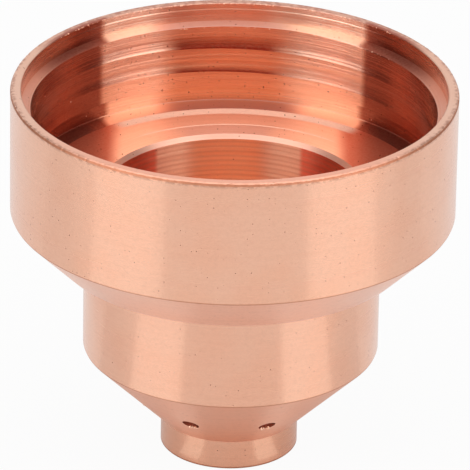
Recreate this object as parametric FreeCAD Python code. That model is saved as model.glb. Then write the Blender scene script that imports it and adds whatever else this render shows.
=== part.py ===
import FreeCAD, Part
import math
import os

# Plasma shield cap: one piece of turned copper, standing on its nose with its mouth up.
# The origin is the centre of the nose's end face, +Z runs up the axis, and sizes are in mm.

# Outside, from the nose up
nose_radius = 5.9
nose_height = 2.6
nose_cone_angle = 45.0
barrel_radius = 12.7
barrel_height = 8.95
shoulder_undercut = 2.5
shoulder_cone_angle = 45.0
rim_radius = 19.0
rim_height = 11.05

# Inside, from the mouth down
mouth_wall = 0.9
mouth_depth = 1.65
ledge_width = 0.95
ledge_slope = 15.0
thread_length = 5.55
relief_depth = 0.85
relief_length = 1.95
barrel_wall = 1.7
bore_chamfer = 0.35
nose_cone_wall = 1.6
nose_wall = 1.9
nose_end_wall = 1.8
orifice_radius = 1.8
orifice_chamfer = 0.3

# Small chamfers, along each side of the corner that they break
rim_edge_break = 0.2
outer_edge_break = 0.1
relief_foot_break = 0.3
nose_floor_break = 0.4

# Vent holes, drilled square to the nose cone
vent_count = 8
vent_radius = 0.74
vent_ring_offset = 2.63

# How far a cutter runs past the surface that it opens
overrun = 1.0

axis_origin = FreeCAD.Vector(0, 0, 0)
axis_up = FreeCAD.Vector(0, 0, 1)


def cone_rise(radius_change, half_angle):
    """Height over which a cone of this half angle changes its radius by this much."""
    return radius_change / math.tan(math.radians(half_angle))


# Radii that follow from a wall, a ledge or an undercut
shoulder_radius = barrel_radius + shoulder_undercut
mouth_radius = rim_radius - mouth_wall
thread_radius = mouth_radius - ledge_width
relief_radius = thread_radius + relief_depth
bore_radius = barrel_radius - barrel_wall
nose_bore_radius = nose_radius - nose_wall
vent_ring_radius = nose_radius + vent_ring_offset

# Heights above the nose's end face
barrel_bottom = nose_height + cone_rise(barrel_radius - nose_radius, nose_cone_angle)
shoulder_level = barrel_bottom + barrel_height
rim_bottom = shoulder_level + cone_rise(rim_radius - shoulder_radius, shoulder_cone_angle)
mouth_level = rim_bottom + rim_height
ledge_level = mouth_level - mouth_depth
lip_level = ledge_level - ledge_width * math.tan(math.radians(ledge_slope))
relief_top = lip_level - thread_length
floor_level = relief_top - relief_length


def inner_cone_level(radius):
    """Height of the inner cone at a radius: it runs parallel to the nose cone, one wall inside it."""
    outer_level = nose_height + cone_rise(radius - nose_radius, nose_cone_angle)
    return outer_level + nose_cone_wall / math.sin(math.radians(nose_cone_angle))


def turned(corners):
    """Solid of revolution about the axis through (radius, height, break) corners.

    The break is how far the corner's small chamfer runs along each of its two sides.
    """
    points = [FreeCAD.Vector(radius, 0, height) for radius, height, edge_break in corners]
    outline = []
    for index, point in enumerate(points):
        edge_break = corners[index][2]
        to_last = (points[index - 1] - point).normalize()
        to_next = (points[(index + 1) % len(points)] - point).normalize()
        outline.append(point + to_last * edge_break)
        if edge_break > 0:
            outline.append(point + to_next * edge_break)
    section = Part.Face(Part.makePolygon(outline + outline[:1]))
    return section.revolve(axis_origin, axis_up, 360)


def outside():
    """The cap with no hollow: nose, cone, barrel, undercut shoulder and rim band."""
    return turned([
        (0, 0, 0),
        (nose_radius, 0, outer_edge_break),
        (nose_radius, nose_height, 0),
        (barrel_radius, barrel_bottom, outer_edge_break),
        (barrel_radius, shoulder_level, 0),
        (shoulder_radius, shoulder_level, outer_edge_break),
        (rim_radius, rim_bottom, outer_edge_break),
        (rim_radius, mouth_level, rim_edge_break),
        (0, mouth_level, 0),
    ])


def cup():
    """The hollow of the mouth: counterbore, sloping ledge, thread wall and relief groove."""
    return turned([
        (0, floor_level, 0),
        (relief_radius, floor_level, relief_foot_break),
        (relief_radius, relief_top, 0),
        (thread_radius, relief_top, 0),
        (thread_radius, lip_level, 0),
        (mouth_radius, ledge_level, 0),
        (mouth_radius, mouth_level + overrun, 0),
        (0, mouth_level + overrun, 0),
    ])


def gas_chamber():
    """The hollow below the cup's floor: chamfered bore, cone, nose bore."""
    chamfer_mouth = bore_radius + bore_chamfer
    return turned([
        (0, nose_end_wall, 0),
        (nose_bore_radius, nose_end_wall, nose_floor_break),
        (nose_bore_radius, inner_cone_level(nose_bore_radius), 0),
        (bore_radius, inner_cone_level(bore_radius), 0),
        (bore_radius, floor_level - bore_chamfer, 0),
        (chamfer_mouth, floor_level, 0),
        (chamfer_mouth, floor_level + overrun, 0),
        (0, floor_level + overrun, 0),
    ])


def orifice():
    """The hole in the nose's end, with a chamfer at its lower edge."""
    chamfer_mouth = orifice_radius + orifice_chamfer
    return turned([
        (0, -overrun, 0),
        (chamfer_mouth, -overrun, 0),
        (chamfer_mouth, 0, 0),
        (orifice_radius, orifice_chamfer, 0),
        (orifice_radius, nose_end_wall + overrun, 0),
        (0, nose_end_wall + overrun, 0),
    ])


def vent(turn):
    """One drilled vent at this angle round the axis, from outside the nose cone to the hollow."""
    slope = math.radians(nose_cone_angle)
    radius_out = math.cos(slope)
    drill_line = FreeCAD.Vector(-radius_out * math.cos(turn), -radius_out * math.sin(turn), math.sin(slope))
    cone_level = nose_height + cone_rise(vent_ring_radius - nose_radius, nose_cone_angle)
    cone_point = FreeCAD.Vector(vent_ring_radius * math.cos(turn), vent_ring_radius * math.sin(turn), cone_level)
    start = cone_point - drill_line * overrun
    return Part.makeCylinder(vent_radius, nose_cone_wall + 2 * overrun, start, drill_line)


def vents():
    """The ring of vents, evenly spaced, with the front between two of them."""
    spacing = 2 * math.pi / vent_count
    return [vent((index + 0.5) * spacing) for index in range(vent_count)]


def shield_cap():
    """The finished cap."""
    return outside().cut([cup(), gas_chamber(), orifice()] + vents())


os.makedirs("parts", exist_ok=True)
shield_cap().exportStep("parts/shield_cap.step")
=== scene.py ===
import math
import random
from typing import NamedTuple

import bmesh
import bpy
from bpy.props import FloatProperty, FloatVectorProperty, IntProperty, PointerProperty
from mathutils import Matrix, Vector


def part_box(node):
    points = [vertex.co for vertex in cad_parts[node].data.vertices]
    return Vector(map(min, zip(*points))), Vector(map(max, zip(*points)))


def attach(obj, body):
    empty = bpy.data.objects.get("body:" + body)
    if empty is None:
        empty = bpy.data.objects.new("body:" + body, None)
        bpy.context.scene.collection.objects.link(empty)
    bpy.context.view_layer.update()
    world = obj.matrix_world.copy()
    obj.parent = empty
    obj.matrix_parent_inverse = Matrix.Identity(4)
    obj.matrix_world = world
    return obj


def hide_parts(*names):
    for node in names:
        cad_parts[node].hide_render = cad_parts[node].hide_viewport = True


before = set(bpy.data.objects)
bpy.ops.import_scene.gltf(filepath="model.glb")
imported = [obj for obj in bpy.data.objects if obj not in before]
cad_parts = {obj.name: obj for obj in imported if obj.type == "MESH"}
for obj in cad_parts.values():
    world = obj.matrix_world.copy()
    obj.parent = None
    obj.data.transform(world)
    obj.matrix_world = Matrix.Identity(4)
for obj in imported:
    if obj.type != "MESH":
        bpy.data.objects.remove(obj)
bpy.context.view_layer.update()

bl_info = {
    "name": "Shield Cap",
    "version": (1, 0, 0),
    "blender": (4, 5, 0),
    "location": "3D View > Sidebar > Shield Cap",
    "description": "Builds a turned copper shield cap with its thread and vents, and a small studio for it",
    "category": "Add Mesh",
}

MM = 0.001
DEGREES_PER_RADIAN = 180.0 / math.pi
RIM_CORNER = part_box("shield_cap")[1]
RIM_RADIUS = RIM_CORNER.x
MOUTH_LEVEL = RIM_CORNER.z

# Zones of the cap's surface, in the order of its material slots
ZONES = (
    "band", "barrel", "nose", "cone", "taper", "rim", "edge", "corner", "counterbore", "ledge",
    "thread", "groove", "relief", "foot", "floor", "chamfer", "bore", "hidden", "vent",
)

# Details of the section that are too small to be sizes of their own
BURR_REACH = 0.15 * MM
RIM_WEAR_LOW = 1.25  # in shares of the rim's chamfer
RIM_WEAR = 0.35
EDGE_STRIP = 0.10 * MM
RING_HEIGHT = 0.02 * MM
RING_ABOVE = 0.08 * MM
RING_BELOW = 0.03 * MM
FOOT_LIP_WIDTH = 0.08 * MM
FOOT_LIP_HEIGHT = 0.06 * MM
NOSE_FLOOR_BREAK = 0.4 * MM

# How the thread's rows of points are laid out
THREAD_TURNS = 5
TURNS_ABOVE = 2.0
CURVE_STEPS = 9
CURVE_POWER = 1.8
MERGE_MARGIN = 0.01 * MM
TINY = 1e-12

# Edges that turn by more than this are shaded crisp
SHARP_ANGLE = math.radians(9.0)

# The drills that open the vents
DRILL_SIDES = 40
DRILL_OUT = 1.0 * MM
DRILL_IN = 2.6 * MM

# Single crumbs on the inner wall: degrees from the back, and millimetres below the mouth
WALL_CHIPS = (
    (-63.0, 5.6), (-48.0, 8.1), (-70.0, 3.7), (-55.0, 6.0),
    (43.5, 8.4), (44.0, 2.0), (50.0, 2.0), (53.0, 2.1),
)
WALL_CHIP_SIZE = 0.05 * MM
RIM_CHIP_DROP = 0.06 * MM
LIP_CHIP_OUT = 0.02 * MM

# Crumbs on the lower lip of each vent: degrees beside the vent's middle, then sizes in millimetres
VENT_CHIP_SWINGS = (-2.6, -1.2, 0.5, 1.9)
VENT_CHIP_RISE = 0.06 * MM
VENT_CHIP_SMALLEST = 0.08
VENT_CHIP_SPREAD = 0.09

# How uneven a crumb is, in shares of its size, and how far it stays below the mouth
CHIP_LEAST = 0.6
CHIP_MORE = 0.7
CHIP_TOP_GAP = 0.005 * MM
BURR_SEED = 7
CHIP_SEED = 11


class Scatter(NamedTuple):
    """Where crumbs lie along an edge, in degrees from the back, and their sizes in millimetres."""

    first: float
    last: float
    smallest: float
    spread: float


RIM_SCATTER = Scatter(-56.0, 48.0, 0.03, 0.07)
LIP_SCATTER = Scatter(-44.0, 52.0, 0.02, 0.04)


def length(name, millimetres, description):
    """A length property whose default is given in millimetres."""
    return FloatProperty(
        name=name, description=description, default=millimetres * MM, min=0.0, precision=5, unit="LENGTH"
    )


def colour(name, default, description):
    """A colour property, in linear red, green and blue."""
    return FloatVectorProperty(
        name=name, description=description, default=default, size=3, min=0.0, max=1.0, subtype="COLOR"
    )


def share(name, default, description):
    """A number from 0 to 1."""
    return FloatProperty(
        name=name, description=description, default=default, min=0.0, max=1.0, subtype="FACTOR"
    )


def angle(name, degrees, description):
    """An angle property whose default is given in degrees."""
    return FloatProperty(
        name=name, description=description, default=math.radians(degrees), subtype="ANGLE", unit="ROTATION"
    )


def amount(name, default, description):
    """A plain number that isn't negative."""
    return FloatProperty(name=name, description=description, default=default, min=0.0)


def count(name, default, least, description):
    """A whole number."""
    return IntProperty(name=name, description=description, default=default, min=least)


class CapSizes(bpy.types.PropertyGroup):
    """Sizes of the turned cap, its thread and its vents."""

    columns: count("Columns", 720, 48, "Steps round the axis")
    nose_radius: length("Nose radius", 5.9, "Radius of the nose")
    nose_height: length("Nose height", 2.6, "Height of the nose's straight wall")
    barrel_radius: length("Barrel radius", 12.7, "Radius of the middle barrel")
    barrel_bottom: length("Barrel bottom", 9.4, "Height where the nose cone meets the barrel")
    shoulder_radius: length("Shoulder radius", 15.2, "Outer radius of the undercut below the rim band")
    shoulder_level: length("Shoulder level", 18.35, "Height of the undercut's flat face")
    rim_bottom: length("Rim bottom", 22.15, "Height where the shoulder cone meets the rim band")
    edge_break: length("Edge break", 0.07, "Chamfer on the crisp outer corners")
    nose_break: length("Nose break", 0.08, "Chamfer on the nose's lower corner")
    rim_break: length("Rim break", 0.2, "Chamfer on the rim's outer corner")
    mouth_radius: length("Mouth radius", 18.1, "Radius of the counterbore in the mouth")
    mouth_depth: length("Mouth depth", 1.65, "Depth of the counterbore")
    ring_depth: length("Ring depth", 0.6, "Depth of the fine ring on the counterbore's wall")
    lip_depth: length("Lip depth", 1.9045, "Depth of the ledge's sharp inner lip")
    crest_radius: length("Crest radius", 17.15, "Radius of the thread's crests")
    root_radius: length("Root radius", 17.29, "Radius of the thread's roots")
    thread_pitch: length("Thread pitch", 2.2, "Rise of the thread in one turn")
    root_length: length("Root length", 1.15, "Height of a groove's straight wall")
    crest_undercut: length("Crest undercut", 0.07, "Height over which the groove opens below a crest")
    thread_start: length("Thread start", 3.93, "Depth of the first crest's lower edge at the back")
    relief_radius: length("Relief radius", 17.9, "Radius of the relief groove below the thread")
    relief_depth: length("Relief depth", 7.5, "Depth of the relief groove's upper edge")
    relief_slope: length("Relief slope", 0.15, "Height of the relief groove's sloping upper side")
    foot_rise: length("Foot rise", 0.27, "Height of the sloping band at the foot of the relief groove")
    foot_radius: length("Foot radius", 16.6, "Inner radius of the sloping band at the foot")
    floor_level: length("Floor level", 23.7955, "Height of the cup's flat floor")
    bore_radius: length("Bore radius", 11.0, "Radius of the bore")
    bore_chamfer: length("Bore chamfer", 0.35, "Chamfer at the bore's mouth")
    bore_bottom: length("Bore bottom", 9.9627, "Height where the bore meets the inner cone")
    nose_bore_radius: length("Nose bore radius", 4.0, "Radius of the bore in the nose")
    nose_bore_top: length("Nose bore top", 2.9627, "Height where the inner cone meets the nose bore")
    end_wall: length("End wall", 1.8, "Thickness of the nose's end wall")
    orifice_radius: length("Orifice radius", 1.8, "Radius of the hole in the nose's end")
    orifice_chamfer: length("Orifice chamfer", 0.3, "Chamfer at the hole's lower edge")
    vent_count: count("Vents", 8, 1, "Number of vents round the nose cone")
    vent_radius: length("Vent radius", 0.74, "Radius of a vent")
    vent_ring_radius: length("Vent ring radius", 8.53, "Radius at which the vents leave the nose cone")
    rim_chips: count("Rim crumbs", 120, 0, "Number of crumbs along the rim's inner edge at the back")
    lip_chips: count("Lip crumbs", 45, 0, "Number of crumbs along the ledge's lip")
    burr: length("Burr", 0.05, "How far the rim's outer edge is uneven")


class CopperFinish(bpy.types.PropertyGroup):
    """Colours and surface of the turned copper."""

    copper: colour("Copper", (0.975, 0.55, 0.384), "Colour of clean turned copper")
    stain: colour("Stain", (0.42, 0.17, 0.09), "Colour of dull brown edges")
    pit: colour("Pit", (0.20, 0.05, 0.022), "Colour of the small pits")
    line_spacing: length("Tool line spacing", 0.11, "Spacing of the finest tool lines")
    feed: length("Feed", 0.45, "Rise of the tool in one turn where it turned the bore")
    pit_spacing: length("Pit spacing", 0.45, "Size of the cells that may each hold a pit")
    pit_depth: amount("Pit depth", 5.0, "Depth of a pit in micrometres")


class StudioSetup(bpy.types.PropertyGroup):
    """Camera, floor and light."""

    camera_distance: length("Camera distance", 540.46, "Distance from the middle of the mouth to the camera")
    camera_elevation: angle("Camera elevation", 24.322, "Angle of the camera above the mouth")
    camera_roll: angle("Camera roll", 1.037, "Turn of the camera about its own line of sight")
    aim_side: length("Aim side", 0.2344, "How far the aim is to the right of the axis")
    aim_drop: length("Aim drop", 13.7225, "How far the aim is below the mouth")
    focal_length: amount("Focal length", 489.37, "Focal length in millimetres")
    floor_colour: colour("Floor colour", (0.5, 0.5, 0.5), "Colour of the floor where light falls on it")
    floor_white: share("Floor white", 0.94, "How much of the floor is plain white to the camera")
    floor_shine: share("Floor in metal", 0.3, "How much of the floor is plain white in the metal")
    lamp_strength: amount("Softbox strength", 1.5, "Brightness of the two softboxes")
    overhead_strength: amount("Overhead strength", 0.6, "Brightness of the lamp overhead")
    flag_glow: share("Flag glow", 0.35, "Brightness of the dark flags at the sides")
    world_strength: amount("World strength", 1.0, "Brightness of the surrounding white")


class Signal:
    """A node's output whose arithmetic adds Math nodes."""

    def __init__(self, shader, socket):
        self.shader = shader
        self.socket = socket

    def _math(self, operation, *values):
        return self.shader.math(operation, *values)

    def __add__(self, other):
        return self._math("ADD", self, other)

    __radd__ = __add__

    def __sub__(self, other):
        return self._math("SUBTRACT", self, other)

    def __rsub__(self, other):
        return self._math("SUBTRACT", other, self)

    def __mul__(self, other):
        return self._math("MULTIPLY", self, other)

    __rmul__ = __mul__

    def __truediv__(self, other):
        return self._math("DIVIDE", self, other)

    def __pow__(self, other):
        return self._math("POWER", self, other)

    def above(self, other):
        """1 where this is above the other, else 0."""
        return self._math("GREATER_THAN", self, other)

    def clamped(self):
        """This, kept between 0 and 1."""
        return self.shader.node("ShaderNodeClamp", {}, {"Value": self})

    def output(self, name):
        """Another output of the same node."""
        return Signal(self.shader, self.socket.node.outputs[name])


class Tone(NamedTuple):
    """A linear colour that is painted over the copper, and how strongly."""

    colour: tuple
    share: float


class Window(NamedTuple):
    """A stretch of a value, and how far the step at each of its ends is softened."""

    low: float
    high: float
    soft_low: float
    soft_high: float


class Shader:
    """The node tree of a material or of the world, while it is being built."""

    def __init__(self, owner):
        owner.use_nodes = True
        self.tree = owner.node_tree
        self.tree.nodes.clear()

    def node(self, kind, settings, sockets, output=0):
        """Adds a node: its settings first, then the values or links of its sockets. Gives one output."""
        made = self.tree.nodes.new(kind)
        for name, value in settings.items():
            setattr(made, name, value)
        for name, value in sockets.items():
            if isinstance(value, Signal):
                self.tree.links.new(value.socket, made.inputs[name])
            else:
                made.inputs[name].default_value = value
        return Signal(self, made.outputs[output]) if made.outputs else None

    def math(self, operation, *values):
        """A Math node on numbers or signals."""
        return self.node("ShaderNodeMath", {"operation": operation}, dict(enumerate(values)))

    def mix(self, factor, first, second):
        """Mix of two colours: the node's sockets 0, 6 and 7 are its factor and its two colours."""
        return self.node("ShaderNodeMix", {"data_type": "RGBA"}, {0: factor, 6: first, 7: second}, output=2)

    def paint(self, base, mask, tone):
        """A tone painted over a base colour where the mask is 1."""
        return self.mix(mask * tone.share, base, tone.colour)

    def ramp(self, value, low, high, to_low=0.0, to_high=1.0):
        """A value mapped and clamped from one range to another."""
        return self.node(
            "ShaderNodeMapRange", {"interpolation_type": "SMOOTHSTEP"},
            {"Value": value, "From Min": low, "From Max": high, "To Min": to_low, "To Max": to_high},
        )

    def between(self, value, window):
        """1 where a value lies in a window, and 0 outside it."""
        low, high, soft_low, soft_high = window
        rise = self.ramp(value, low - soft_low, low + soft_low)
        return rise * self.ramp(value, high - soft_high, high + soft_high, 1.0, 0.0)

    def noise(self, sockets, dimensions="3D"):
        """A noise from 0 to 1."""
        return self.node("ShaderNodeTexNoise", {"noise_dimensions": dimensions}, sockets)


class Look(NamedTuple):
    """What sets the finish of one zone apart from the others."""

    rough: float
    along: float  # anisotropy along the tool lines
    lines: float  # height of the fine tool lines, in micrometres
    ridges: float  # height of the coarse tool lines, in micrometres
    pits: float  # share of the cells that hold a pit
    dull: float  # how far the stain shows
    streaks: float  # how far the tool lines darken the copper
    pit_dark: float = 0.55
    tint: tuple = (1.0, 1.0, 1.0)  # over the copper's colour
    coat: float = 0.0  # pale haze over the surface


THREAD_LOOK = Look(
    rough=0.24, along=0.95, lines=9.0, ridges=30.0, pits=0.55, dull=0.03, streaks=0.50, pit_dark=0.95
)

LOOKS = {
    "band": Look(rough=0.24, along=0.90, lines=0.5, ridges=0.6, pits=0.22, dull=0.04, streaks=0.05, coat=0.6),
    "barrel": Look(
        rough=0.24, along=0.90, lines=0.5, ridges=0.8, pits=0.12, dull=0.04, streaks=0.06,
        tint=(0.99, 0.98, 0.98), coat=0.6,
    ),
    "nose": Look(
        rough=0.24, along=0.90, lines=0.8, ridges=1.0, pits=0.12, dull=0.06, streaks=0.10,
        tint=(0.95, 0.90, 0.86), coat=0.6,
    ),
    "cone": Look(
        rough=0.46, along=0.45, lines=1.2, ridges=1.0, pits=0.12, dull=0.08, streaks=0.12,
        tint=(0.98, 1.03, 1.10), coat=0.6,
    ),
    "taper": Look(
        rough=0.42, along=0.5, lines=1.2, ridges=1.0, pits=0.15, dull=0.08, streaks=0.12,
        tint=(0.91, 0.82, 0.78), coat=0.2,
    ),
    "rim": Look(
        rough=0.38, along=0.5, lines=1.0, ridges=1.0, pits=0.20, dull=0.03, streaks=0.06,
        pit_dark=0.70, tint=(0.77, 0.86, 0.93),
    ),
    "edge": Look(
        rough=0.5, along=0.2, lines=1.0, ridges=1.0, pits=0.50, dull=0.35, streaks=0.20,
        pit_dark=0.90, tint=(0.52, 0.38, 0.32),
    ),
    "corner": Look(
        rough=0.42, along=0.3, lines=1.0, ridges=1.0, pits=0.30, dull=0.20, streaks=0.15,
        pit_dark=0.80, tint=(0.68, 0.58, 0.54),
    ),
    "counterbore": Look(
        rough=0.24, along=0.95, lines=12.0, ridges=28.0, pits=0.30, dull=0.03, streaks=0.55, pit_dark=0.90
    ),
    "ledge": Look(
        rough=0.36, along=0.7, lines=14.0, ridges=12.0, pits=0.30, dull=0.12, streaks=0.35,
        pit_dark=0.80, tint=(0.68, 0.56, 0.58),
    ),
    "thread": THREAD_LOOK,
    "relief": THREAD_LOOK,
    "groove": THREAD_LOOK._replace(lines=24.0, ridges=50.0, pits=0.50, streaks=0.70),
    "foot": Look(
        rough=0.34, along=0.6, lines=2.0, ridges=1.0, pits=0.15, dull=0.02, streaks=0.20, pit_dark=0.90
    ),
    "floor": Look(
        rough=0.50, along=0.4, lines=1.5, ridges=2.0, pits=0.20, dull=0.02, streaks=0.12, pit_dark=0.90
    ),
    "bore": Look(rough=0.40, along=0.95, lines=8.0, ridges=32.0, pits=0.06, dull=0.02, streaks=0.50),
    "chamfer": Look(
        rough=0.38, along=0.5, lines=3.0, ridges=3.0, pits=0.10, dull=0.03, streaks=0.12,
        pit_dark=0.70, tint=(0.79, 0.76, 0.82),
    ),
    "chip": Look(
        rough=0.3, along=0.0, lines=0.0, ridges=0.0, pits=0.0, dull=0.0, streaks=0.0,
        tint=(1.0, 1.15, 1.2),
    ),
    "hidden": Look(
        rough=0.2, along=0.4, lines=0.4, ridges=0.4, pits=0.10, dull=0.05, streaks=0.12,
        tint=(0.97, 0.95, 0.93),
    ),
    "vent": Look(
        rough=0.4, along=0.3, lines=0.5, ridges=0.5, pits=0.10, dull=0.1, streaks=0.10,
        tint=(0.55, 0.30, 0.25),
    ),
}


class PaintedLightArcs(NamedTuple):
    """Where the inner surfaces turn deep (painted shade), pale (painted highlight) and back again (painted
    reflection), in degrees round the axis from the back.
    """

    far_left: float
    deep_left: float
    pale_left: float
    pale_right: float
    deep_right: float
    far_right: float


# Arcs of the painted light on the inner walls: deep is painted shade, pale a painted highlight, the back a
# painted reflection
PAINTED_LIGHT_ARCS = {
    "counterbore": PaintedLightArcs(-58.0, -39.5, -21.0, 9.0, 38.5, 60.0),
    "ledge": PaintedLightArcs(-66.0, -39.5, -22.0, 14.0, 38.5, 66.0),
    "thread": PaintedLightArcs(-88.0, -42.0, -20.0, 14.0, 40.0, 90.0),
    "groove": PaintedLightArcs(-88.0, -42.0, -20.0, 14.0, 40.0, 90.0),
    "relief": PaintedLightArcs(-88.0, -38.5, -20.0, 14.0, 37.5, 90.0),
    "foot": PaintedLightArcs(-88.0, -41.0, -20.0, 18.0, 39.5, 90.0),
    "bore": PaintedLightArcs(-90.0, -37.5, -20.0, 13.5, 32.0, 90.0),
}
CRISP = 1.5
SOFT = 5.0
FAR_SOFT = 10.0

# The painted reflection on the same surfaces at the back, between the pale sides
BACK_REFLECTIONS = {
    "counterbore": Tone((0.80, 0.40, 0.28, 1.0), 0.6),
    "ledge": Tone((0.66, 0.46, 0.42, 1.0), 0.6),
    "thread": Tone((0.80, 0.30, 0.14, 1.0), 0.65),
    "groove": Tone((0.80, 0.31, 0.16, 1.0), 0.65),
    "relief": Tone((0.80, 0.30, 0.14, 1.0), 0.65),
    "foot": Tone((0.56, 0.34, 0.30, 1.0), 0.8),
    "bore": Tone((1.0, 0.42, 0.21, 1.0), 0.9),
}

# The painted highlight of the pale sides and the painted shade of the deep sides, and those of the zones that
# see more or less light
PAINTED_HIGHLIGHT = Tone((1.0, 0.70, 0.54, 1.0), 0.6)
PAINTED_HIGHLIGHTS = {"bore": Tone((1.0, 0.62, 0.42, 1.0), 0.95), "counterbore": Tone((1.0, 0.76, 0.60, 1.0), 0.95)}
PAINTED_SHADE = Tone((0.28, 0.06, 0.036, 1.0), 0.9)
PAINTED_SHADES = {"bore": Tone((0.95, 0.23, 0.13, 1.0), 0.95)}

# Shade and shine over the thread's crests, in shares of the pitch; the first crest's shade is the shorter one
CREST_SHADE = Tone((0.26, 0.010, 0.002, 1.0), 0.95)
CREST_SHINE = Tone((1.0, 0.86, 0.74, 1.0), 0.1)
FIRST_CREST_REACH = 0.26
CREST_REACH_MORE = 0.49
FIRST_CREST_DROP = 0.9 * MM
RELIEF_FADE = 0.8 * MM
CREST_WHOLE_TURNS = 9.0  # keeps the value whose fraction is taken above zero

# The cup's floor, painted light: its red sides are painted shade, the two pale rings at the back a painted
# highlight on rings that are also rougher, and the duller back beside the bore painted shade
FLOOR_SIDE_SHADE = Tone((0.55, 0.105, 0.05, 1.0), 0.9)
FLOOR_SIDE_SHIFT = 0.5
FLOOR_SIDE_START = 9.0
FLOOR_SIDE_END = 10.6
FLOOR_RING_HIGHLIGHT = Tone((1.0, 0.76, 0.62, 1.0), 0.8)
FLOOR_RING_OUTER = Window(15.5, 16.65, 0.15, 0.05)
FLOOR_RING_INNER = Window(13.2, 13.35, 0.04, 0.04)
FLOOR_RING_ARC = Window(-38.0, 40.0, 3.0, 3.0)
FLOOR_RING_ROUGH = 0.3
NEAR_BORE_SHADE = Tone((0.76, 0.43, 0.34, 1.0), 0.6)
NEAR_BORE_ARC = Window(-21.0, 15.0, 4.0, 4.0)
NEAR_BORE_START = 13.1
NEAR_BORE_END = 13.2

# Feed lines in the bore, as shares of one turn's rise
FEED_LINE = Tone((0.66, 0.27, 0.17, 1.0), 0.4)
FEED_WINDOW = Window(0.35, 0.75, 0.2, 0.2)
FEED_WHOLE_TURNS = 99.0

# Brown marks on the rim band, just below the rim
BAND_MARKS = Tone((0.50, 0.24, 0.15, 1.0), 0.7)
BAND_MARKS_START = 0.55 * MM
BAND_MARKS_END = 0.22 * MM

# The rim's face: brown painted shade at the back, a warm painted reflection at the front, deep painted shade
# on its inner half beside the deep sides
RIM_BACK_SHADE = Tone((0.48, 0.21, 0.155, 1.0), 1.0)
RIM_BACK_ARC = Window(-58.0, 56.0, 12.0, 12.0)
RIM_BACK_LEAST = 0.4
RIM_FRONT_REFLECTION = Tone((0.82, 0.38, 0.26, 1.0), 0.8)
RIM_FRONT_START = 110.0
RIM_FRONT_END = 150.0
RIM_INNER_SHADE = Tone((0.33, 0.06, 0.03, 1.0), 0.85)
RIM_INNER_LEFT = Window(-62.0, -38.0, 8.0, 1.5)
RIM_INNER_RIGHT = Window(38.5, 60.0, 1.5, 8.0)
RIM_INNER_FULL = 0.20 * MM
RIM_INNER_NONE = 0.50 * MM
RIM_EDGE = Tone((0.42, 0.20, 0.14, 1.0), 1.0)
RIM_EDGE_START = 0.5 * MM
RIM_EDGE_END = 0.2 * MM
RIM_EDGE_SHARE = 0.8
RIM_EDGE_LESS = 0.6

# Textures of the copper: noise scales, and the ranges of a noise that give a mask
SLOPE_SHARE = 0.62
COARSE_LINES = 1.9
COARSE_OFFSET = 17.0
CLOUD_SCALE = 260.0
SPECKLE_SCALE = 2600.0
GRAIN_SCALE = 5200.0
CLOUD_RANGE = (0.35, 0.7)
CLOUD_WARMTH = (1.0, 0.955, 0.93)
FINE_RANGE = (0.35, 0.7)
COARSE_RANGE = (0.4, 0.65)
DULL_RANGE = (0.45, 0.75)
GRAIN_RANGE = (0.35, 0.65)
BAND_MARKS_RANGE = (0.36, 0.60)
RIM_SPECKLE_RANGE = (0.4, 0.6)
STREAK_COLOUR = (0.62, 0.24, 0.13, 1.0)
GRAIN = Tone((0.78, 0.40, 0.27, 1.0), 0.10)

# Pits: least radius and what may be added, in cells, and how uneven the outline is
PIT_LEAST = 0.055
PIT_MORE = 0.14
PIT_UNEVEN = 0.10
PIT_RANGE = (0.05, 0.5)

# What fine lines, cloud and pits add to the roughness, and the speckle's height in micrometres
ROUGH_FINE = 0.12
ROUGH_CLOUD = 0.08
ROUGH_PIT = 0.2
SPECKLE_HEIGHT = 0.15
MICROMETRE = 0.000001
TURNED_ROUND = 0.25
COAT_ROUGH = 0.3


class CopperField:
    """The coordinates and noises that the copper of one zone is made from, lengths in metres."""

    def __init__(self, shader, finish):
        self.place = shader.node("ShaderNodeTexCoord", {}, {}, output="Object")
        axes = shader.node("ShaderNodeSeparateXYZ", {}, {0: self.place})
        along = axes.output("Y")
        self.across = axes.output("X")
        self.height = axes.output("Z")
        self.radius = (self.across * self.across + along * along) ** 0.5
        self.turn = shader.math("ARCTAN2", self.across, along)
        self.section = (self.height + self.radius * SLOPE_SHARE) / MM
        fine_place = self.section / (finish.line_spacing / MM)
        self.fine = shader.noise({"W": fine_place, "Scale": 1.0, "Detail": 2.0, "Roughness": 0.6}, "1D")
        coarse_place = self.section * COARSE_LINES + COARSE_OFFSET
        self.coarse = shader.noise({"W": coarse_place, "Scale": 1.0, "Detail": 2.0}, "1D")
        self.cloud = shader.noise({"Vector": self.place, "Scale": CLOUD_SCALE, "Detail": 3.0})
        self.speckle = shader.noise({"Vector": self.place, "Scale": SPECKLE_SCALE, "Detail": 2.0})

    def degrees(self):
        """Degrees round the axis from the back, positive to the right."""
        return self.turn * DEGREES_PER_RADIAN


def pit_mask(shader, field, finish, look):
    """1 in the small round pits, which lie in some of the cells of a pattern unrolled from the surface."""
    unrolled = shader.node("ShaderNodeCombineXYZ", {}, {0: field.turn * field.radius / MM, 1: field.section})
    cells = shader.node(
        "ShaderNodeTexVoronoi", {"voronoi_dimensions": "2D", "feature": "F1"},
        {"Vector": unrolled, "Scale": 1.0 / finish.pit_spacing * MM, "Randomness": 1.0},
    )
    chance = shader.node("ShaderNodeSeparateColor", {}, {0: cells.output("Color")})
    size = chance.output("Green")
    reach = size * size * size * PIT_MORE + PIT_LEAST
    outline = cells + field.speckle * PIT_UNEVEN - PIT_UNEVEN / 2.0
    pit = (1.0 - outline / reach).clamped() * chance.above(1.0 - look.pits)
    return shader.ramp(pit, *PIT_RANGE)


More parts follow.
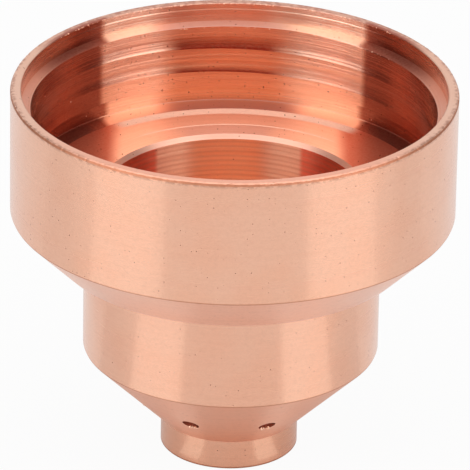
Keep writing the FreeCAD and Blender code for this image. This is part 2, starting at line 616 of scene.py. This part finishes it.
def clean_copper(shader, field, finish, look):
    """The copper's own colour in this zone, a little warmer in soft patches."""
    tone = tuple(c * t for c, t in zip(finish.copper, look.tint))
    warmer = tuple(c * w for c, w in zip(tone, CLOUD_WARMTH))
    return shader.mix(shader.ramp(field.cloud, *CLOUD_RANGE), tone + (1.0,), warmer + (1.0,))


def floor_ring(shader, field):
    """1 on the two rings of the cup's floor at the back, where a highlight is painted and the copper is
    rougher.
    """
    radius = field.radius / MM
    ring = shader.between(radius, FLOOR_RING_OUTER) + shader.between(radius, FLOOR_RING_INNER)
    return ring * shader.between(field.degrees(), FLOOR_RING_ARC)


def floor_painted_light(shader, field, ring, tone):
    """The cup's floor, painted light: red painted shade at its sides, duller painted shade beside the bore,
    and a pale painted highlight on its rings.
    """
    off_side = shader.math("ABSOLUTE", field.across / MM + FLOOR_SIDE_SHIFT)
    tone = shader.paint(tone, shader.ramp(off_side, FLOOR_SIDE_START, FLOOR_SIDE_END), FLOOR_SIDE_SHADE)
    at_back = shader.between(field.degrees(), NEAR_BORE_ARC)
    near_bore = at_back * shader.ramp(field.radius / MM, NEAR_BORE_START, NEAR_BORE_END, 1.0, 0.0)
    tone = shader.paint(tone, near_bore, NEAR_BORE_SHADE)
    return shader.paint(tone, ring, FLOOR_RING_HIGHLIGHT)


def painted_side_light(shader, zone, turn, tone):
    """The tone on the inner walls, all painted light: deep red painted shade at the sides, a pale painted
    highlight beside the back, an orange painted reflection at the back.

    Gives the tone, and the masks of the back and of the pale sides.
    """
    s = PAINTED_LIGHT_ARCS[zone]
    pale = shader.between(turn, Window(s.deep_left, s.pale_left, CRISP, SOFT))
    pale = pale + shader.between(turn, Window(s.pale_right, s.deep_right, SOFT, CRISP))
    deep = shader.between(turn, Window(s.far_left, s.deep_left, FAR_SOFT, CRISP))
    deep = deep + shader.between(turn, Window(s.deep_right, s.far_right, CRISP, FAR_SOFT))
    back = shader.between(turn, Window(s.pale_left, s.pale_right, SOFT, SOFT))
    tone = shader.paint(tone, pale, PAINTED_HIGHLIGHTS.get(zone, PAINTED_HIGHLIGHT))
    tone = shader.paint(tone, deep, PAINTED_SHADES.get(zone, PAINTED_SHADE))
    return shader.paint(tone, back, BACK_REFLECTIONS[zone]), back, pale


def crest_tone(shader, field, sizes, back, pale, tone):
    """Darkens the thread above each crest's edge at the back, and brightens it beside the back."""
    first_edge = (MOUTH_LEVEL - sizes.thread_start) / MM
    pitch = sizes.thread_pitch / MM
    pitches = (field.height / MM - first_edge) / pitch + field.degrees() / 360.0 + CREST_WHOLE_TURNS
    phase = shader.math("FRACT", pitches)
    on_first = field.height.above(MOUTH_LEVEL - sizes.thread_start - FIRST_CREST_DROP)
    reach = FIRST_CREST_REACH + on_first * CREST_REACH_MORE
    near_edge = shader.ramp(phase, 0.0, reach, 1.0, 0.0)
    relief_edge = MOUTH_LEVEL - sizes.relief_depth
    above_relief = shader.ramp(field.height, relief_edge, relief_edge + RELIEF_FADE)
    back = back * above_relief
    tone = shader.paint(tone, near_edge * back * back, CREST_SHADE)
    return shader.paint(tone, near_edge * (pale * above_relief), CREST_SHINE)


def feed_tone(shader, field, finish, tone):
    """The fine thread-like lines that the tool's feed left in the bore."""
    feed = shader.math("FRACT", field.height / finish.feed + field.turn / math.tau + FEED_WHOLE_TURNS)
    return shader.paint(tone, shader.between(feed, FEED_WINDOW), FEED_LINE)


def band_tone(shader, field, tone):
    """The small brown marks on the rim band, just below the rim."""
    near_rim = shader.ramp(field.height, MOUTH_LEVEL - BAND_MARKS_START, MOUTH_LEVEL - BAND_MARKS_END)
    return shader.paint(tone, near_rim * shader.ramp(field.speckle, *BAND_MARKS_RANGE), BAND_MARKS)


def rim_painted_light_and_brown_edge(shader, field, sizes, tone):
    """The rim's face: brown painted shade at the back, brown at its outer edge, a warm painted reflection at
    the front, and deep painted shade on its inner half beside the deep sides.
    """
    degrees = field.degrees()
    speckle = shader.ramp(field.speckle, *RIM_SPECKLE_RANGE)
    at_back = shader.between(degrees, RIM_BACK_ARC)
    tone = shader.paint(tone, at_back * (RIM_BACK_LEAST + speckle * (1.0 - RIM_BACK_LEAST)), RIM_BACK_SHADE)
    front = shader.ramp(shader.math("ABSOLUTE", degrees), RIM_FRONT_START, RIM_FRONT_END)
    tone = shader.paint(tone, front, RIM_FRONT_REFLECTION)
    deep = shader.between(degrees, RIM_INNER_LEFT) + shader.between(degrees, RIM_INNER_RIGHT)
    full, none = sizes.mouth_radius + RIM_INNER_FULL, sizes.mouth_radius + RIM_INNER_NONE
    tone = shader.paint(tone, deep * shader.ramp(field.radius, full, none, 1.0, 0.0), RIM_INNER_SHADE)
    at_edge = shader.ramp(field.radius, RIM_RADIUS - RIM_EDGE_START, RIM_RADIUS - RIM_EDGE_END)
    return shader.paint(tone, at_edge * speckle * (RIM_EDGE_SHARE - front * RIM_EDGE_LESS), RIM_EDGE)


def copper_material(zone, finish, sizes):
    """Turned copper for one zone: tool lines round the axis, pits, faint stains and worn edges, with painted
    shade, highlights and reflections on the inner walls, the crests, the floor and the rim.
    """
    look = LOOKS[zone]
    material = bpy.data.materials.new("copper_" + zone)
    shader = Shader(material)
    field = CopperField(shader, finish)
    pits = pit_mask(shader, field, finish, look)
    tone = clean_copper(shader, field, finish, look)
    rough = look.rough
    # The floor's red sides and its back beside the bore are painted shade, its pale rings a painted highlight
    if zone == "floor":
        ring = floor_ring(shader, field)
        tone = floor_painted_light(shader, field, ring, tone)
        rough = rough + ring * FLOOR_RING_ROUGH
    streaks = shader.ramp(field.fine, *FINE_RANGE) * 0.5 + shader.ramp(field.coarse, *COARSE_RANGE) * 0.5
    tone = shader.paint(tone, streaks, Tone(STREAK_COLOUR, look.streaks))
    # Painted shade, highlights and reflections on the inner walls, the thread's crests and the rim
    if zone in PAINTED_LIGHT_ARCS:
        tone, back, pale = painted_side_light(shader, zone, field.degrees(), tone)
    if zone in ("thread", "groove"):
        tone = crest_tone(shader, field, sizes, back, pale, tone)
    elif zone == "bore":
        tone = feed_tone(shader, field, finish, tone)
    elif zone == "band":
        tone = band_tone(shader, field, tone)
    elif zone == "rim":
        tone = rim_painted_light_and_brown_edge(shader, field, sizes, tone)
    grain = shader.noise({"Vector": field.place, "Scale": GRAIN_SCALE, "Detail": 1.0})
    tone = shader.paint(tone, shader.ramp(grain, *GRAIN_RANGE), GRAIN)
    stain = Tone(tuple(finish.stain) + (1.0,), look.dull)
    tone = shader.paint(tone, shader.ramp(field.speckle, *DULL_RANGE), stain)
    tone = shader.paint(tone, pits, Tone(tuple(finish.pit) + (1.0,), look.pit_dark))

    worn = (field.fine - 0.5) * ROUGH_FINE + (field.cloud - 0.5) * ROUGH_CLOUD + pits * ROUGH_PIT
    lines = field.fine * look.lines + field.coarse * look.ridges
    height_map = lines + field.speckle * SPECKLE_HEIGHT - pits * finish.pit_depth
    bump = shader.node("ShaderNodeBump", {}, {"Strength": 1.0, "Distance": MICROMETRE, "Height": height_map})
    surface = shader.node(
        "ShaderNodeBsdfPrincipled", {"distribution": "MULTI_GGX"},
        {
            "Base Color": tone, "Metallic": 1.0, "Roughness": rough + worn, "Normal": bump,
            "Anisotropic": look.along, "Anisotropic Rotation": TURNED_ROUND,
            "Coat Weight": look.coat, "Coat Roughness": COAT_ROUGH,
        },
    )
    shader.node("ShaderNodeOutputMaterial", {}, {"Surface": surface})
    return material


def thread_profile(sizes):
    """One pitch of the thread below a crest's lower edge: (drop, share of the groove's depth, zone).

    The groove opens at once below the edge, runs straight and then curves inward to the next edge.
    """
    opening, straight, pitch = sizes.crest_undercut, sizes.root_length, sizes.thread_pitch
    profile = [
        (0.0, 0.0, "groove"),  # the crest's lower edge
        (opening * 0.5, 0.6, "groove"),
        (opening, 1.0, "groove"),  # the root
        (opening * 1.6, 1.0, "groove"),
        (straight * 0.6, 1.0, "groove"),
    ]
    for k in range(CURVE_STEPS):
        way = k / CURVE_STEPS
        profile.append((straight + (pitch - straight) * way, 1.0 - way ** CURVE_POWER, "thread"))
    profile.append((pitch - opening * 0.15, 0.015, "thread"))  # just above the next edge
    return profile


def outer_section(s):
    """(radius, height, zone of the face that follows) from the orifice's lower edge up to the ledge."""
    b, e = s.edge_break, s.rim_break
    slant = b * math.sqrt(0.5)
    ring_level = MOUTH_LEVEL - s.ring_depth
    return [
        (s.orifice_radius + s.orifice_chamfer, 0.0, "nose"),
        (s.nose_radius - s.nose_break, 0.0, "edge"),
        (s.nose_radius, s.nose_break, "edge"),
        (s.nose_radius, s.nose_break + EDGE_STRIP, "nose"),
        (s.nose_radius, s.nose_height, "taper"),
        (s.barrel_radius - slant, s.barrel_bottom - slant, "corner"),
        (s.barrel_radius, s.barrel_bottom + b, "barrel"),
        (s.barrel_radius, s.shoulder_level, "cone"),
        (s.shoulder_radius - b, s.shoulder_level, "corner"),
        (s.shoulder_radius + slant, s.shoulder_level + slant, "cone"),
        (RIM_RADIUS - slant, s.rim_bottom - slant, "corner"),
        (RIM_RADIUS, s.rim_bottom + b, "band"),
        (RIM_RADIUS, MOUTH_LEVEL - e * RIM_WEAR_LOW, "edge"),
        (RIM_RADIUS - e * RIM_WEAR, MOUTH_LEVEL - e * RIM_WEAR, "rim"),
        (RIM_RADIUS - e, MOUTH_LEVEL, "rim"),
        (s.mouth_radius + b, MOUTH_LEVEL, "rim"),
        (s.mouth_radius, MOUTH_LEVEL - b, "counterbore"),
        (s.mouth_radius, ring_level + RING_ABOVE, "counterbore"),
        (s.mouth_radius - RING_HEIGHT, ring_level, "counterbore"),
        (s.mouth_radius, ring_level - RING_BELOW, "counterbore"),
        (s.mouth_radius, MOUTH_LEVEL - s.mouth_depth, "ledge"),
    ]


def lower_section(s):
    """(radius, height, zone of the face that follows) from the relief groove down to the orifice."""
    relief_bottom = MOUTH_LEVEL - s.relief_depth - s.relief_slope
    foot_level = s.floor_level + s.foot_rise
    return [
        (s.relief_radius, relief_bottom, "relief"),
        (s.relief_radius, foot_level + FOOT_LIP_HEIGHT, "foot"),
        (s.relief_radius - FOOT_LIP_WIDTH, foot_level, "foot"),
        (s.foot_radius, s.floor_level, "floor"),
        (s.bore_radius + s.bore_chamfer, s.floor_level, "chamfer"),
        (s.bore_radius, s.floor_level - s.bore_chamfer, "bore"),
        (s.bore_radius, s.bore_bottom, "hidden"),
        (s.nose_bore_radius, s.nose_bore_top, "hidden"),
        (s.nose_bore_radius, s.end_wall + NOSE_FLOOR_BREAK, "hidden"),
        (s.nose_bore_radius - NOSE_FLOOR_BREAK, s.end_wall, "hidden"),
        (s.orifice_radius, s.end_wall, "hidden"),
        (s.orifice_radius, s.orifice_chamfer, "hidden"),
    ]


class CapMesh:
    """Points and faces of the cap while they are laid out, column by column round the axis."""

    def __init__(self, sizes):
        self.s = sizes
        self.points = []
        self.faces = []
        self.zones = []
        self.random = random.Random(BURR_SEED)
        self.turns = [math.tau * j / sizes.columns for j in range(sizes.columns)]

    def point(self, radius, turn, height):
        """Adds a point; a turn of 0 is the front. Gives its number."""
        self.points.append((radius * math.sin(turn), -radius * math.cos(turn), height))
        return len(self.points) - 1

    def face(self, corners, zone):
        """Adds a face, with corners that fall together left out."""
        kept = [c for i, c in enumerate(corners) if c != corners[i - 1]]
        if len(kept) > 2:
            self.faces.append(kept)
            self.zones.append(ZONES.index(zone))

    def ring(self, radius, height, wobble=0.0):
        """A circle of points; its edge may be uneven by up to the wobble."""
        made = []
        for turn in self.turns:
            inward = wobble * self.random.random() ** 3
            down = wobble * self.random.random() ** 3
            made.append(self.point(radius - inward, turn, height - down))
        return made

    def join(self, upper, lower, zone):
        """The strip of faces between two circles of points."""
        for j in range(self.s.columns):
            k = (j + 1) % self.s.columns
            self.face((upper[j], lower[j], lower[k], upper[k]), zone)

    def row_place(self, profile, row, turn):
        """Height and radius of one row of the thread at this turn; the rows wind down like the thread."""
        s = self.s
        step, index = divmod(row, len(profile))
        drop, cut, _ = profile[index]
        climb = turn / math.tau - 0.5
        first_crest = MOUTH_LEVEL - s.thread_start + TURNS_ABOVE * s.thread_pitch
        height = first_crest - (step - climb) * s.thread_pitch - drop
        return height, s.crest_radius + (s.root_radius - s.crest_radius) * cut

    def wall_radius(self, profile, height, turn):
        """Radius of the threaded wall at this height and turn."""
        for row in range(len(profile) * THREAD_TURNS - 1):
            upper = self.row_place(profile, row, turn)
            lower = self.row_place(profile, row + 1, turn)
            if lower[0] <= height <= upper[0]:
                part = (upper[0] - height) / max(upper[0] - lower[0], TINY)
                return upper[1] + (lower[1] - upper[1]) * part
        raise ValueError("the thread's rows don't reach this height")

    def thread_ends(self, profile):
        """The circle of points where the thread meets the ledge, and the one at the relief groove."""
        s = self.s
        lip, relief = MOUTH_LEVEL - s.lip_depth, MOUTH_LEVEL - s.relief_depth
        ledge_slope = (s.lip_depth - s.mouth_depth) / (s.mouth_radius - s.crest_radius)
        lip_ring, relief_ring = [], []
        for turn in self.turns:
            radius = self.wall_radius(profile, lip, turn)
            lip_ring.append(self.point(radius, turn, lip + (radius - s.crest_radius) * ledge_slope))
            radius = self.wall_radius(profile, relief, turn)
            share_out = (radius - s.crest_radius) / (s.relief_radius - s.crest_radius)
            relief_ring.append(self.point(radius, turn, relief - s.relief_slope * share_out))
        return lip_ring, relief_ring

    def thread(self):
        """Adds the threaded wall. Gives the circles of points at its two ends."""
        s = self.s
        profile = thread_profile(s)
        row_count = len(profile) * THREAD_TURNS
        lip, relief = MOUTH_LEVEL - s.lip_depth, MOUTH_LEVEL - s.relief_depth
        lip_ring, relief_ring = self.thread_ends(profile)
        grid = []
        for j, turn in enumerate(self.turns):
            column = []
            for row in range(row_count):
                height, radius = self.row_place(profile, row, turn)
                if height >= lip - MERGE_MARGIN:
                    column.append(lip_ring[j])
                elif height <= relief + MERGE_MARGIN:
                    column.append(relief_ring[j])
                else:
                    column.append(self.point(radius, turn, height))
            grid.append(column)

        last = s.columns - 1
        for j in range(s.columns):
            k = (j + 1) % s.columns
            shift = len(profile) if j == last else 0
            for row in range(row_count - 1):
                zone = profile[row % len(profile)][2]
                upper, lower = row - shift, row + 1 - shift
                right_upper = grid[k][upper] if upper >= 0 else lip_ring[k]
                right_lower = grid[k][lower] if lower >= 0 else lip_ring[k]
                self.face((grid[j][row], grid[j][row + 1], right_lower, right_upper), zone)
        return lip_ring, relief_ring

    def build(self):
        """The whole closed surface of revolution."""
        s = self.s
        lip_ring, relief_ring = self.thread()
        rings = []
        for radius, height, zone in outer_section(s):
            uneven = s.burr if zone == "rim" and radius > RIM_RADIUS - BURR_REACH else 0.0
            rings.append((self.ring(radius, height, uneven), zone))
        outer_count = len(rings)
        rings.append((lip_ring, None))
        rings.append((relief_ring, "thread"))
        rings += [(self.ring(radius, height), zone) for radius, height, zone in lower_section(s)]
        for i, (ring, zone) in enumerate(rings):
            if i != outer_count:
                self.join(ring, rings[(i + 1) % len(rings)][0], zone)


def mesh_object(name, points, faces):
    """A mesh object in the scene."""
    mesh = bpy.data.meshes.new(name)
    mesh.from_pydata(points, [], faces)
    mesh.validate()
    made = bpy.data.objects.new(name, mesh)
    bpy.context.scene.collection.objects.link(made)
    return made


def vent_level(s):
    """Height at which the vents' axes leave the 45-degree nose cone."""
    return s.nose_height + (s.vent_ring_radius - s.nose_radius)


def vent_cutters(s):
    """One mesh of all the drills that open the vents, square to the nose cone."""
    points, faces = [], []
    for i in range(s.vent_count):
        turn = (i + 0.5) * math.tau / s.vent_count
        outward = Vector((math.cos(turn), math.sin(turn), 0.0))
        centre = outward * s.vent_ring_radius + Vector((0.0, 0.0, vent_level(s)))
        drill = (Vector((0.0, 0.0, 1.0)) - outward).normalized()
        side = drill.cross(outward).normalized()
        up = side.cross(drill)
        first = len(points)
        for reach in (-DRILL_OUT, DRILL_IN):
            for k in range(DRILL_SIDES):
                spin = math.tau * k / DRILL_SIDES
                edge = (side * math.cos(spin) + up * math.sin(spin)) * s.vent_radius
                points.append(centre + drill * reach + edge)
        near = list(range(first, first + DRILL_SIDES))
        far = [n + DRILL_SIDES for n in near]
        faces.append(near)
        faces.append(far[::-1])
        for k in range(DRILL_SIDES):
            following = (k + 1) % DRILL_SIDES
            faces.append((near[k], far[k], far[following], near[following]))
    return mesh_object("vent_cutters", points, faces)


def add_chip(work, place, size, rng):
    """A crumb of copper: a small closed lump with an uneven surface, kept just below the mouth's level."""
    made = bmesh.ops.create_icosphere(work, subdivisions=1, radius=size)
    for vertex in made["verts"]:
        moved = Vector(vertex.co) * (CHIP_LEAST + CHIP_MORE * rng.random()) + Vector(place)
        moved.z = min(moved.z, MOUTH_LEVEL - CHIP_TOP_GAP)
        vertex.co = moved


def wall_place(radius, degrees_from_back, height):
    """A place on a circle about the axis; degrees are counted from the back and positive to the right."""
    turn = math.radians(degrees_from_back)
    return (radius * math.sin(turn), radius * math.cos(turn), height)


def scatter_chips(work, rng, number, scatter, radius, height):
    """Crumbs at random places along an edge, most of them small."""
    for _ in range(number):
        degrees = scatter.first + (scatter.last - scatter.first) * rng.random()
        size = (scatter.smallest + scatter.spread * rng.random() ** 2) * MM
        add_chip(work, wall_place(radius, degrees, height), size, rng)


def copper_chips(s):
    """Crumbs left by the turning: on the inner wall, the rim's inner edge, the lip and the vents."""
    rng = random.Random(CHIP_SEED)
    work = bmesh.new()
    for degrees, drop in WALL_CHIPS:
        add_chip(work, wall_place(s.root_radius, degrees, MOUTH_LEVEL - drop * MM), WALL_CHIP_SIZE, rng)
    scatter_chips(work, rng, s.rim_chips, RIM_SCATTER, s.mouth_radius, MOUTH_LEVEL - RIM_CHIP_DROP)
    lip_radius = s.crest_radius + LIP_CHIP_OUT
    scatter_chips(work, rng, s.lip_chips, LIP_SCATTER, lip_radius, MOUTH_LEVEL - s.lip_depth)
    down = s.vent_radius * math.sqrt(0.5)
    height = vent_level(s) - down + VENT_CHIP_RISE
    for i in range(s.vent_count):
        degrees = (i + 0.5) * 360.0 / s.vent_count
        for swing in VENT_CHIP_SWINGS:
            place = wall_place(s.vent_ring_radius - down, degrees + swing, height)
            add_chip(work, place, (VENT_CHIP_SMALLEST + VENT_CHIP_SPREAD * rng.random()) * MM, rng)
    mesh = bpy.data.meshes.new("copper_chips")
    work.to_mesh(mesh)
    work.free()
    chips = bpy.data.objects.new("copper_chips", mesh)
    bpy.context.scene.collection.objects.link(chips)
    return chips


def fix_normals(target):
    """Turns every face of a closed mesh outward."""
    work = bmesh.new()
    work.from_mesh(target.data)
    bmesh.ops.recalc_face_normals(work, faces=work.faces)
    work.to_mesh(target.data)
    work.free()


def drill_vents(context, cap, cutters):
    """Cuts the drills out of the cap and removes them."""
    cut = cap.modifiers.new("vents", "BOOLEAN")
    cut.operation = "DIFFERENCE"
    cut.solver = "MANIFOLD"
    cut.object = cutters
    context.view_layer.update()
    graph = context.evaluated_depsgraph_get()
    opened = bpy.data.meshes.new_from_object(cap.evaluated_get(graph), depsgraph=graph)
    cap.modifiers.clear()
    cap.data = opened
    bpy.data.objects.remove(cutters)


class SHIELDCAP_OT_cap(bpy.types.Operator):
    """Build the turned copper cap, with its thread, relief groove and vents"""

    bl_idname = "shieldcap.cap"
    bl_label = "Build Cap"

    def execute(self, context):
        scene = context.scene
        sizes = scene.cap_sizes
        layout = CapMesh(sizes)
        layout.build()
        cap = mesh_object("shield_cap_turned", layout.points, layout.faces)
        if len(cap.data.polygons) != len(layout.zones):
            raise RuntimeError("the cap's mesh lost faces")
        cap.data.polygons.foreach_set("material_index", layout.zones)
        cutters = vent_cutters(sizes)
        for polygon in cutters.data.polygons:
            polygon.material_index = ZONES.index("vent")
        for zone in ZONES:
            material = copper_material(zone, scene.copper_finish, sizes)
            cap.data.materials.append(material)
            cutters.data.materials.append(material)
        for piece in (cap, cutters):
            fix_normals(piece)
        drill_vents(context, cap, cutters)
        for polygon in cap.data.polygons:
            polygon.use_smooth = True
        cap.data.set_sharp_from_angle(angle=SHARP_ANGLE)
        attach(cap, "root")
        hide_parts("shield_cap")
        return {"FINISHED"}


class SHIELDCAP_OT_crumbs(bpy.types.Operator):
    """Build the crumbs and burrs of copper that the turning left"""

    bl_idname = "shieldcap.crumbs"
    bl_label = "Build Crumbs"

    def execute(self, context):
        scene = context.scene
        chips = copper_chips(scene.cap_sizes)
        chips.data.materials.append(copper_material("chip", scene.copper_finish, scene.cap_sizes))
        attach(chips, "root")
        return {"FINISHED"}


# The stage, in metres: white cards on the floor that show only in the metal, as
# (name, near radius, far radius, first and last degrees from the front, positive to the right)
WHITE_CARDS = (("card_right", 0.015, 0.4, 34.0, 69.0), ("card_left", 0.015, 0.4, -67.0, -31.0))
PALE_CARDS = (
    ("nose_card_right", 0.0065, 0.013, 29.0, 54.0),
    ("nose_card_left", 0.0065, 0.013, -52.0, -29.0),
    ("card_back_right", 0.02, 0.4, 100.0, 172.0),
    ("card_back_left", 0.02, 0.4, -172.0, -100.0),
)
CARD_LEVEL = 0.2 * MM
CARD_STEPS = 12
WHITE_GLOW = 0.94
PALE_GLOW = 0.83
WHITE = (1.0, 1.0, 1.0, 1.0)

# Dark flags that stand at the sides: name, first and last degrees
FLAGS = (("flag_right", 84.0, 132.0), ("flag_left", -132.0, -84.0))
FLAG_HEIGHT = 0.5
STAND_RADIUS = 0.42

# Softboxes: name and degrees; their size and height
SOFTBOXES = (("softbox_right", 61.0), ("softbox_left", -59.0))
SOFTBOX_WIDTH = 0.33
SOFTBOX_HEIGHT = 0.5
SOFTBOX_LEVEL = 0.28
OVERHEAD_SIZE = 1.0
OVERHEAD_LEVEL = 0.7
OVERHEAD_LEAN = 0.001

FLOOR_HALF = 3.0
FLOOR_GAP = 0.00002
SENSOR_WIDTH = 36.0


def glow_material(name, brightness):
    """A plain stage material that glows evenly in white."""
    material = bpy.data.materials.new(name)
    shader = Shader(material)
    light = shader.node("ShaderNodeEmission", {}, {"Color": WHITE, "Strength": brightness})
    shader.node("ShaderNodeOutputMaterial", {}, {"Surface": light})
    return material


def floor_material(studio):
    """The pale floor: white to the camera and in the metal, with the cap's soft shadow kept."""
    material = bpy.data.materials.new("floor_pale")
    shader = Shader(material)
    rays = shader.node("ShaderNodeLightPath", {}, {})
    in_metal = rays.output("Is Glossy Ray") + rays.output("Is Transmission Ray")
    white = rays.output("Is Camera Ray") * studio.floor_white + in_metal * studio.floor_shine
    matt = shader.node("ShaderNodeBsdfDiffuse", {}, {"Color": tuple(studio.floor_colour) + (1.0,)})
    light = shader.node("ShaderNodeEmission", {}, {"Color": WHITE, "Strength": 1.0})
    both = shader.node("ShaderNodeMixShader", {}, {0: white, 1: matt, 2: light})
    shader.node("ShaderNodeOutputMaterial", {}, {"Surface": both})
    return material


def sector_points(radius, first, last, height):
    """Points along an arc about the axis; 0 degrees is the front and 90 the right."""
    turns = [math.radians(first + (last - first) * k / CARD_STEPS) for k in range(CARD_STEPS + 1)]
    return [(radius * math.sin(t), -radius * math.cos(t), height) for t in turns]


def add_card(name, near_arc, far_arc, material):
    """A card between two arcs of points, kept out of every ray but the metal's reflections."""
    row = CARD_STEPS + 1
    faces = [(k, k + 1, row + k + 1, row + k) for k in range(CARD_STEPS)]
    card = mesh_object(name, near_arc + far_arc, faces)
    card.data.materials.append(material)
    card.visible_camera = False
    card.visible_diffuse = False
    card.visible_shadow = False


def lying_card(name, near, far, first, last, material):
    """A card that lies on the floor beside the cap."""
    near_arc = sector_points(near, first, last, CARD_LEVEL)
    add_card(name, near_arc, sector_points(far, first, last, CARD_LEVEL), material)


def standing_card(name, first, last, material):
    """A curved card that stands round the cap."""
    low_arc = sector_points(STAND_RADIUS, first, last, 0.0)
    add_card(name, low_arc, sector_points(STAND_RADIUS, first, last, FLAG_HEIGHT), material)


def soft_lamp(name, place, aim, width, tall, strength):
    """A soft rectangular lamp that points at the cap and isn't seen itself."""
    data = bpy.data.lights.new(name, "AREA")
    data.shape = "RECTANGLE"
    data.size = width
    data.size_y = tall
    data.energy = strength * math.pi * width * tall
    lamp = bpy.data.objects.new(name, data)
    bpy.context.scene.collection.objects.link(lamp)
    lamp.location = place
    lamp.rotation_mode = "QUATERNION"
    lamp.rotation_quaternion = (Vector(aim) - Vector(place)).to_track_quat("-Z", "Y")
    lamp.visible_camera = False


def add_floor(studio):
    """The plain pale floor, just below the cap's nose."""
    corners = [(x * FLOOR_HALF, y * FLOOR_HALF, 0.0) for x, y in ((-1, -1), (1, -1), (1, 1), (-1, 1))]
    floor = mesh_object("floor", corners, [(0, 1, 2, 3)])
    floor.location.z = -FLOOR_GAP
    floor.data.materials.append(floor_material(studio))


def add_cards(studio):
    """The cards and flags that the metal reflects."""
    white = glow_material("card_white", WHITE_GLOW)
    dark = glow_material("card_dark", studio.flag_glow)
    pale = glow_material("card_pale", PALE_GLOW)
    for card in WHITE_CARDS:
        lying_card(*card, white)
    for card in PALE_CARDS:
        lying_card(*card, pale)
    for flag in FLAGS:
        standing_card(*flag, dark)


def add_lamps(studio):
    """Two softboxes in front and a lamp overhead."""
    for name, degrees in SOFTBOXES:
        spin = math.radians(degrees)
        place = (STAND_RADIUS * math.sin(spin), -STAND_RADIUS * math.cos(spin), SOFTBOX_LEVEL)
        aim = (0.0, 0.0, SOFTBOX_LEVEL)
        soft_lamp(name, place, aim, SOFTBOX_WIDTH, SOFTBOX_HEIGHT, studio.lamp_strength)
    place, aim = (0.0, 0.0, OVERHEAD_LEVEL), (0.0, OVERHEAD_LEAN, 0.0)
    soft_lamp("overhead", place, aim, OVERHEAD_SIZE, OVERHEAD_SIZE, studio.overhead_strength)


def add_world(studio):
    """The even white that surrounds the stage."""
    world = bpy.data.worlds.new("studio_world")
    bpy.context.scene.world = world
    shader = Shader(world)
    light = {"Color": WHITE, "Strength": studio.world_strength}
    around = shader.node("ShaderNodeBackground", {}, light)
    shader.node("ShaderNodeOutputWorld", {}, {"Surface": around})


def add_camera(studio):
    """The camera at the photograph's viewing angle."""
    data = bpy.data.cameras.new("camera")
    data.sensor_width = SENSOR_WIDTH
    data.lens = studio.focal_length
    camera = bpy.data.objects.new("camera", data)
    bpy.context.scene.collection.objects.link(camera)
    rise = studio.camera_elevation
    back = Vector((0.0, -math.cos(rise), math.sin(rise))) * studio.camera_distance
    camera.location = back + Vector((0.0, 0.0, MOUTH_LEVEL))
    aim = Vector((studio.aim_side, 0.0, MOUTH_LEVEL - studio.aim_drop))
    turned = (aim - camera.location).to_track_quat("-Z", "Y").to_matrix().to_4x4()
    placed = Matrix.Translation(camera.location) @ turned
    camera.matrix_world = placed @ Matrix.Rotation(studio.camera_roll, 4, "Z")
    bpy.context.scene.camera = camera


class SHIELDCAP_OT_studio(bpy.types.Operator):
    """Build the pale floor, the soft light and the camera"""

    bl_idname = "shieldcap.studio"
    bl_label = "Build Studio"

    def execute(self, context):
        studio = context.scene.studio_setup
        add_floor(studio)
        add_cards(studio)
        add_lamps(studio)
        add_world(studio)
        add_camera(studio)
        context.scene.view_settings.view_transform = "Standard"
        return {"FINISHED"}


class SHIELDCAP_PT_panel(bpy.types.Panel):
    """Lists the operators and what they read"""

    bl_label = "Shield Cap"
    bl_idname = "SHIELDCAP_PT_panel"
    bl_space_type = "VIEW_3D"
    bl_region_type = "UI"
    bl_category = "Shield Cap"

    def draw(self, context):
        layout = self.layout
        scene = context.scene
        layout.operator("shieldcap.cap")
        layout.operator("shieldcap.crumbs")
        layout.operator("shieldcap.studio")
        for group in (scene.cap_sizes, scene.copper_finish, scene.studio_setup):
            box = layout.box()
            for name in group.__annotations__:
                box.prop(group, name)


CLASSES = (
    CapSizes, CopperFinish, StudioSetup,
    SHIELDCAP_OT_cap, SHIELDCAP_OT_crumbs, SHIELDCAP_OT_studio, SHIELDCAP_PT_panel,
)


def register():
    for cls in CLASSES:
        bpy.utils.register_class(cls)
    bpy.types.Scene.cap_sizes = PointerProperty(type=CapSizes)
    bpy.types.Scene.copper_finish = PointerProperty(type=CopperFinish)
    bpy.types.Scene.studio_setup = PointerProperty(type=StudioSetup)


def unregister():
    del bpy.types.Scene.studio_setup
    del bpy.types.Scene.copper_finish
    del bpy.types.Scene.cap_sizes
    for cls in reversed(CLASSES):
        bpy.utils.unregister_class(cls)


def main():
    register()
    bpy.ops.shieldcap.cap()
    bpy.ops.shieldcap.crumbs()
    bpy.ops.shieldcap.studio()


if __name__ == "__main__":
    main()
